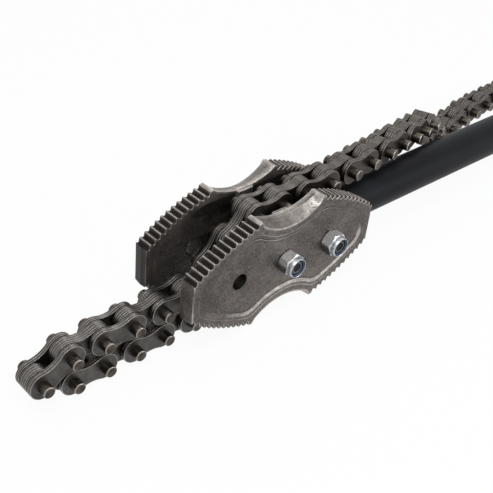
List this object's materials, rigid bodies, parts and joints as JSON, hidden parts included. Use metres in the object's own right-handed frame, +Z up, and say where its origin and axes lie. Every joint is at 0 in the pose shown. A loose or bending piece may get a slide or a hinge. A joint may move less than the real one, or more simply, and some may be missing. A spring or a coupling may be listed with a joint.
{
  "type": "chain pipe wrench",
  "caption": "Chain pipe wrench with two double-ended toothed jaws, a tube handle and a hinged leaf chain with outstanding pins, laid on the floor.",
  "frame": {"origin": "middle of the laid-up tool's box, on the floor it lies on", "axes": "+Z up, +X along the handle from the jaws to the tube's free end in plan, -Y is the side with the nuts"},
  "size_m": [1.1068, 0.1534, 0.1047],
  "materials": {
    "forged_steel": "grey-brown forged steel, satin, fine cast texture and worn bright edges",
    "chain_steel": "dark oiled steel with bright edges",
    "pin_steel": "burnished brown-grey steel",
    "zinc_steel": "bright zinc plate, bluish",
    "nylon": "dark blue nylon",
    "black_tube": "satin blue-black paint",
    "black_plug": "black plastic"
  },
  "bodies": {
    "wrench": {"jaw_near": "forged_steel", "jaw_far": "forged_steel", "handle_end": "forged_steel", "handle_tube": "black_tube", "handle_plug": "black_plug", "jaw_bolt_front": "chain_steel", "jaw_nut_front": "zinc_steel", "nut_insert_front": "nylon", "jaw_bolt_rear": "chain_steel", "jaw_nut_rear": "zinc_steel", "nut_insert_rear": "nylon", "anchor_pin": "pin_steel"},
    "link_01": {"inner_link_01": "chain_steel"},
    "link_02": {"outer_link_02": "chain_steel"},
    "link_03": {"inner_link_03": "chain_steel"},
    "link_04": {"outer_link_04": "chain_steel"},
    "link_05": {"inner_link_05": "chain_steel"},
    "link_06": {"outer_link_06": "chain_steel"},
    "link_07": {"inner_link_07": "chain_steel"},
    "link_08": {"outer_link_08": "chain_steel"},
    "link_09": {"inner_link_09": "chain_steel"},
    "link_10": {"outer_link_10": "chain_steel"},
    "link_11": {"inner_link_11": "chain_steel"},
    "link_12": {"outer_link_12": "chain_steel"},
    "link_13": {"inner_link_13": "chain_steel"},
    "link_14": {"outer_link_14": "chain_steel"},
    "link_15": {"inner_link_15": "chain_steel"},
    "link_16": {"outer_link_16": "chain_steel"},
    "link_17": {"inner_link_17": "chain_steel"},
    "link_18": {"outer_link_18": "chain_steel"},
    "link_19": {"inner_link_19": "chain_steel"},
    "link_20": {"outer_link_20": "chain_steel"},
    "link_21": {"inner_link_21": "chain_steel"},
    "link_22": {"outer_link_22": "chain_steel"},
    "link_23": {"inner_link_23": "chain_steel"},
    "link_24": {"outer_link_24": "chain_steel"},
    "link_25": {"inner_link_25": "chain_steel"},
    "link_26": {"outer_link_26": "chain_steel"},
    "link_27": {"inner_link_27": "chain_steel"},
    "link_28": {"outer_link_28": "chain_steel"},
    "link_29": {"inner_link_29": "chain_steel"},
    "link_30": {"outer_link_30": "chain_steel"},
    "link_31": {"inner_link_31": "chain_steel"},
    "link_32": {"outer_link_32": "chain_steel"},
    "link_33": {"inner_link_33": "chain_steel"},
    "link_34": {"outer_link_34": "chain_steel"}
  },
  "joints": [
    {"name": "chain_hinge_01", "type": "hinge", "parent": "wrench", "child": "link_01", "pos_m": [-0.34925, -0.02697, 0.02771], "axis": [0, -1, 0], "range_deg": [0, 33.5]},
    {"name": "chain_hinge_02", "type": "hinge", "parent": "link_01", "child": "link_02", "pos_m": [-0.37292, -0.02697, 0.0117], "axis": [0, -1, 0], "range_deg": [0, 39.5]},
    {"name": "chain_hinge_03", "type": "hinge", "parent": "link_02", "child": "link_03", "pos_m": [-0.40149, -0.02697, 0.0117], "axis": [0, -1, 0], "range_deg": [0, 10]},
    {"name": "chain_hinge_04", "type": "hinge", "parent": "link_03", "child": "link_04", "pos_m": [-0.43007, -0.02697, 0.0117], "axis": [0, -1, 0], "range_deg": [0, 16.5]},
    {"name": "chain_hinge_05", "type": "hinge", "parent": "link_04", "child": "link_05", "pos_m": [-0.45864, -0.02697, 0.0117], "axis": [0, -1, 0], "range_deg": [0, 22.5]},
    {"name": "chain_hinge_06", "type": "hinge", "parent": "link_05", "child": "link_06", "pos_m": [-0.48722, -0.02697, 0.0117], "axis": [0, -1, 0], "range_deg": [0, 22]},
    {"name": "chain_hinge_07", "type": "hinge", "parent": "link_06", "child": "link_07", "pos_m": [-0.51579, -0.02697, 0.0117], "axis": [0, -1, 0], "range_deg": [0, 53]},
    {"name": "chain_hinge_08", "type": "hinge", "parent": "link_07", "child": "link_08", "pos_m": [-0.5417, -0.02697, 0.02375], "axis": [0, -1, 0], "range_deg": [0, 130]},
    {"name": "chain_hinge_09", "type": "hinge", "parent": "link_08", "child": "link_09", "pos_m": [-0.51579, -0.02697, 0.0358], "axis": [0, -1, 0], "range_deg": [0, 36]},
    {"name": "chain_hinge_10", "type": "hinge", "parent": "link_09", "child": "link_10", "pos_m": [-0.48722, -0.02697, 0.0358], "axis": [0, -1, 0], "range_deg": [0, 35.5]},
    {"name": "chain_hinge_11", "type": "hinge", "parent": "link_10", "child": "link_11", "pos_m": [-0.45864, -0.02697, 0.0358], "axis": [0, -1, 0], "range_deg": [0, 17]},
    {"name": "chain_hinge_12", "type": "hinge", "parent": "link_11", "child": "link_12", "pos_m": [-0.43007, -0.02697, 0.0358], "axis": [0, -1, 0], "range_deg": [0, 19]},
    {"name": "chain_hinge_13", "type": "hinge", "parent": "link_12", "child": "link_13", "pos_m": [-0.40153, -0.02697, 0.0373], "axis": [0, -1, 0], "range_deg": [0, 8]},
    {"name": "chain_hinge_14", "type": "hinge", "parent": "link_13", "child": "link_14", "pos_m": [-0.37468, -0.02697, 0.04707], "axis": [0, -1, 0], "range_deg": [0, 4.5]},
    {"name": "chain_hinge_15", "type": "hinge", "parent": "link_14", "child": "link_15", "pos_m": [-0.35484, -0.02697, 0.06763], "axis": [0, -1, 0], "range_deg": [0, 19]},
    {"name": "chain_hinge_16", "type": "hinge", "parent": "link_15", "child": "link_16", "pos_m": [-0.3336, -0.02697, 0.08675], "axis": [0, -1, 0], "range_deg": [0, 49]},
    {"name": "chain_hinge_17", "type": "hinge", "parent": "link_16", "child": "link_17", "pos_m": [-0.30503, -0.02697, 0.08656], "axis": [0, -1, 0], "range_deg": [0, 26.5]},
    {"name": "chain_hinge_18", "type": "hinge", "parent": "link_17", "child": "link_18", "pos_m": [-0.27645, -0.02697, 0.08656], "axis": [0, -1, 0], "range_deg": [0, 37.5]},
    {"name": "chain_hinge_19", "type": "hinge", "parent": "link_18", "child": "link_19", "pos_m": [-0.24788, -0.02697, 0.08667], "axis": [0, -1, 0], "range_deg": [0, 29.5]},
    {"name": "chain_hinge_20", "type": "hinge", "parent": "link_19", "child": "link_20", "pos_m": [-0.21935, -0.02547, 0.08607], "axis": [0.1045, -0.9945, 0], "range_deg": [0, 24]},
    {"name": "chain_hinge_21", "type": "hinge", "parent": "link_20", "child": "link_21", "pos_m": [-0.19095, -0.02249, 0.08518], "axis": [0.1045, -0.9945, 0], "range_deg": [0, 21.5]},
    {"name": "chain_hinge_22", "type": "hinge", "parent": "link_21", "child": "link_22", "pos_m": [-0.16284, -0.01803, 0.0826], "axis": [0.2079, -0.9781, 0], "range_deg": [0, 31.5]},
    {"name": "chain_hinge_23", "type": "hinge", "parent": "link_22", "child": "link_23", "pos_m": [-0.13505, -0.01213, 0.07951], "axis": [0.2079, -0.9781, 0], "range_deg": [0, 38.5]},
    {"name": "chain_hinge_24", "type": "hinge", "parent": "link_23", "child": "link_24", "pos_m": [-0.10791, -0.00511, 0.07397], "axis": [0.2924, -0.9563, 0], "range_deg": [0, 29]},
    {"name": "chain_hinge_25", "type": "hinge", "parent": "link_24", "child": "link_25", "pos_m": [-0.0812, 0.00306, 0.06793], "axis": [0.2924, -0.9563, 0], "range_deg": [0, 37.5]},
    {"name": "chain_hinge_26", "type": "hinge", "parent": "link_25", "child": "link_26", "pos_m": [-0.0549, 0.01212, 0.06141], "axis": [0.342, -0.9397, 0], "range_deg": [0, 56]},
    {"name": "chain_hinge_27", "type": "hinge", "parent": "link_26", "child": "link_27", "pos_m": [-0.03236, 0.02032, 0.04587], "axis": [0.342, -0.9397, 0], "range_deg": [0, 49]},
    {"name": "chain_hinge_28", "type": "hinge", "parent": "link_27", "child": "link_28", "pos_m": [-0.01438, 0.02686, 0.02465], "axis": [0.342, -0.9397, 0], "range_deg": [0, 11]},
    {"name": "chain_hinge_29", "type": "hinge", "parent": "link_28", "child": "link_29", "pos_m": [0.00956, 0.03557, 0.0117], "axis": [0.342, -0.9397, 0], "range_deg": [-40, 15]},
    {"name": "chain_hinge_30", "type": "hinge", "parent": "link_29", "child": "link_30", "pos_m": [0.03688, 0.04393, 0.0117], "axis": [0.225, -0.9744, 0], "range_deg": [-40, 58.5]},
    {"name": "chain_hinge_31", "type": "hinge", "parent": "link_30", "child": "link_31", "pos_m": [0.06473, 0.05036, 0.0117], "axis": [0.225, -0.9744, 0], "range_deg": [-40, 43]},
    {"name": "chain_hinge_32", "type": "hinge", "parent": "link_31", "child": "link_32", "pos_m": [0.09295, 0.05483, 0.0117], "axis": [0.0872, -0.9962, 0], "range_deg": [-40, 45]},
    {"name": "chain_hinge_33", "type": "hinge", "parent": "link_32", "child": "link_33", "pos_m": [0.12141, 0.05732, 0.0117], "axis": [0.0872, -0.9962, 0], "range_deg": [-40, 81]},
    {"name": "chain_hinge_34", "type": "hinge", "parent": "link_33", "child": "link_34", "pos_m": [0.14999, 0.05782, 0.0117], "axis": [0, -1, 0], "range_deg": [-40, 100]}
  ]
}
